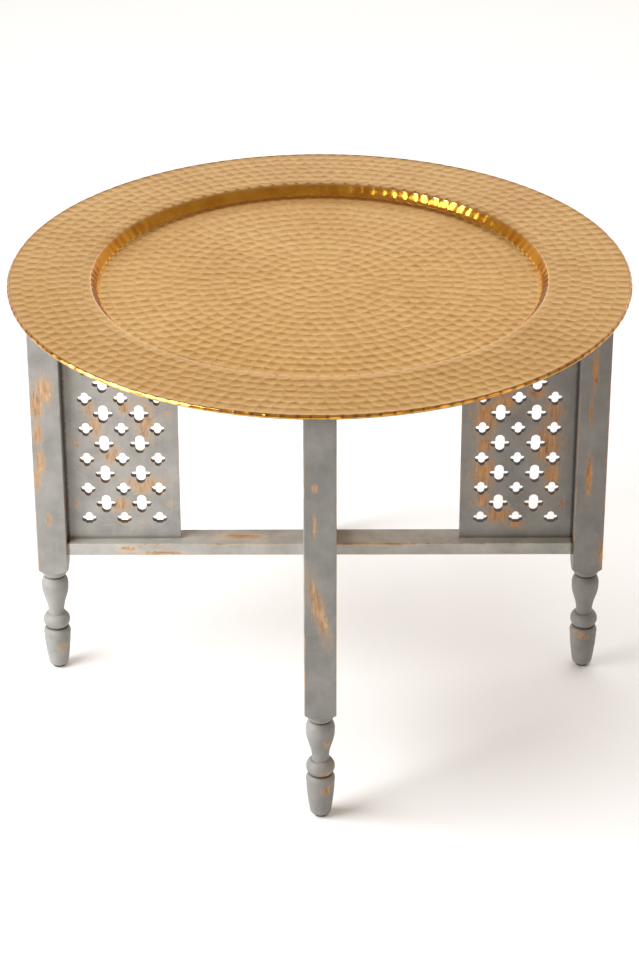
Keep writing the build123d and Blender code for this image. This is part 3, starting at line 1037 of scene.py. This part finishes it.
def wood_for(node):
    """The paint of one wooden piece: its grain runs along it, with its own wear, and a tone that also
    holds painted light and shade.
    """
    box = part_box(node)
    run = "X" if node.startswith("a_") else "Y"
    along = run if "rail" in node else "Z"
    grooves = FOOT_GROOVES if "leg" in node else ()
    lattice = None
    joints = ()
    if "panel" in node:
        rail_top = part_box(f"{node[0]}_lower_rail")[1].z
        lattice = (run, rail_top + FIRST_ROW_ABOVE_RAIL)
        leg_joint = math.copysign(LEG_JOINT, (box[0] + box[1])[AXES[run]])
        joints = ((run, leg_joint, PANEL_SIDE_SHADE), ("Z", rail_top, PANEL_FOOT_SHADE))
    elif "lower_rail" in node:
        joints = ((run, LEG_JOINT, RAIL_END_SHADE), (run, -LEG_JOINT, RAIL_END_SHADE))
    # Paint tone together with painted light and shade for this piece.
    tone = TONES_AND_SHADE.get(node, 1.0)
    worn = WORN.get(node, ())
    return painted_wood(f"paint_{node}", along, box, worn, tone, grooves, lattice, joints)


def zinc_steel():
    """Zinc-plated hardware."""
    s = Shader("zinc_steel")
    place = s.place()
    colour = s.ramp(s.noise(place, 160.0, 3.0), (0.3, rgb(150, 150, 146)), (0.7, rgb(188, 188, 182)))
    roughness = s.speckled(place, 700.0, 0.28, 0.44)
    return s.finish(Base_Color=colour, Metallic=1.0, Roughness=roughness)


def glide_plastic():
    """Dark brown moulded glides, scuffed."""
    s = Shader("glide_plastic")
    place = s.place()
    colour = s.ramp(s.noise(place, 240.0, 4.0), (0.3, rgb(46, 34, 28)), (0.75, rgb(78, 62, 52)))
    normal = s.bump(s.noise(place, 900.0, 3.0), 0.06 * MM, 0.5)
    roughness = s.speckled(place, 300.0, 0.45, 0.65)
    return s.finish(Base_Color=colour, Roughness=roughness, Normal=normal)


# ------------------------------------------------------------------ floor and surroundings
FLOOR_HALF_SIDE = 24.0
FLOOR_COLOUR = (0.9, 0.92, 0.95, 1.0)
SURROUNDINGS_COLOUR = (1.0, 0.82, 0.64, 1.0)
BACKDROP_COLOUR = (1.0, 0.99, 0.975, 1.0)


def make_floor():
    """A plain pale floor, large enough to fill the view."""
    side = FLOOR_HALF_SIDE
    corners = [(-side, -side, 0), (side, -side, 0), (side, side, 0), (-side, side, 0)]
    mesh = bpy.data.meshes.new("floor")
    mesh.from_pydata(corners, [], [(0, 1, 2, 3)])
    floor = bpy.data.objects.new("floor", mesh)
    bpy.context.scene.collection.objects.link(floor)
    s = Shader("floor")
    mesh.materials.append(s.finish(Base_Color=FLOOR_COLOUR, Roughness=0.9))
    floor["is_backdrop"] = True


def light_surroundings():
    """Dim warm surroundings, with a bright low backdrop behind the table and a window in front of
    it on the right. Each is made of smooth steps along X, Y and Z of the direction looked in."""
    world = bpy.data.worlds.new("studio")
    bpy.context.scene.world = world
    world.use_nodes = True
    sky = Nodes(world.node_tree)
    axes = sky.split(sky.node("ShaderNodeTexCoord").outputs["Generated"])

    behind = sky.spread(axes["Y"], 0.25, 0.85)
    low = sky.spread(axes["Z"], 0.42, 0.66, 1.0, 0.0)
    centred = sky.spread(sky.math("ABSOLUTE", axes["X"]), 0.25, 0.6, 1.01, 0.4)
    backdrop = sky.combine("MULTIPLY", behind, low, centred)

    on_right = sky.spread(axes["X"], 0.46, 0.54, 0.0, 0.9)
    in_front = sky.spread(axes["Y"], -0.3, -0.2, 1.0, 0.0)
    under_top = sky.spread(axes["Z"], 0.4, 0.46, 1.0, 0.0)
    window = sky.combine("MULTIPLY", on_right, in_front, under_top)

    level = sky.spread(axes["Y"], -0.4, 0.6, 0.36, 0.43)
    background = world.node_tree.nodes["Background"]
    sky.wire(background.inputs["Strength"], sky.combine("ADD", level, backdrop, window))
    sky.wire(background.inputs["Color"], sky.mix(backdrop, SURROUNDINGS_COLOUR, BACKDROP_COLOUR))


def light_table():
    """A near softbox on the left, and a wide fill overhead that reflections don't show."""
    add_softbox("key", place=(-1.42, -0.6, 1.12), target=(0.0, 0.0, 0.4), size=(1.4, 1.9), watts=57.0)
    fill = add_softbox("fill", place=(0.2, 1.4, 3.5), target=(0.0, 1.0, 0.0), size=(5.0, 4.0), watts=121.0)
    fill.visible_glossy = False


bpy.context.scene.view_settings.view_transform = "Standard"
make_camera()
make_floor()
light_surroundings()
light_table()
make_tray(satin_brass(), polished_brass())
dress_frame()

boxes = {"cad": cad_box, "visual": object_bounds()}
{name: [list(corner) for corner in box] for name, box in boxes.items()}
